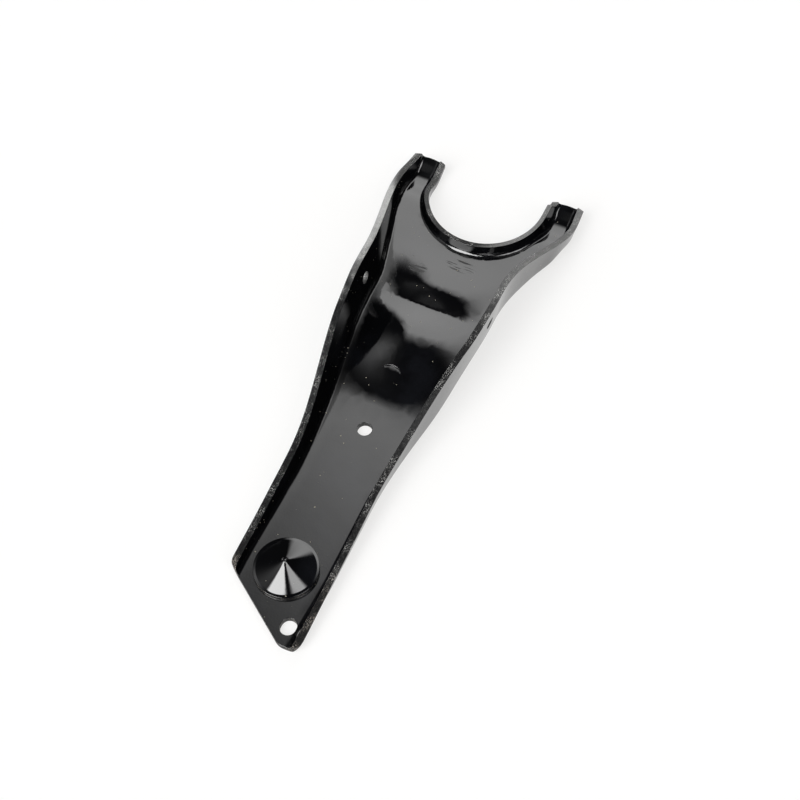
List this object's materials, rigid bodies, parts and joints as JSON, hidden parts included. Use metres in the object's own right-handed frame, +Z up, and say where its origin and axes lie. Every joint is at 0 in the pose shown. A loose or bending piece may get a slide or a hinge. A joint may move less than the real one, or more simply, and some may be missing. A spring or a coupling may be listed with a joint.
{
  "type": "clutch fork",
  "caption": "Stamped steel clutch release lever with side flanges, a push rod cup, a cross seat for its pivot and an open fork with rounded pads for the release bearing.",
  "frame": {"origin": "on the axis of the push rod cup, at the level of the web's upper face", "axes": "+X along the lever from the push rod cup to the fork, +Y to the left across it, +Z up out of the channel between the flanges"},
  "size_m": [0.2798, 0.0988, 0.0338],
  "materials": {
    "black_paint": "gloss"
  },
  "bodies": {
    "root": {"clutch_fork": "black_paint"}
  },
  "joints": []
}
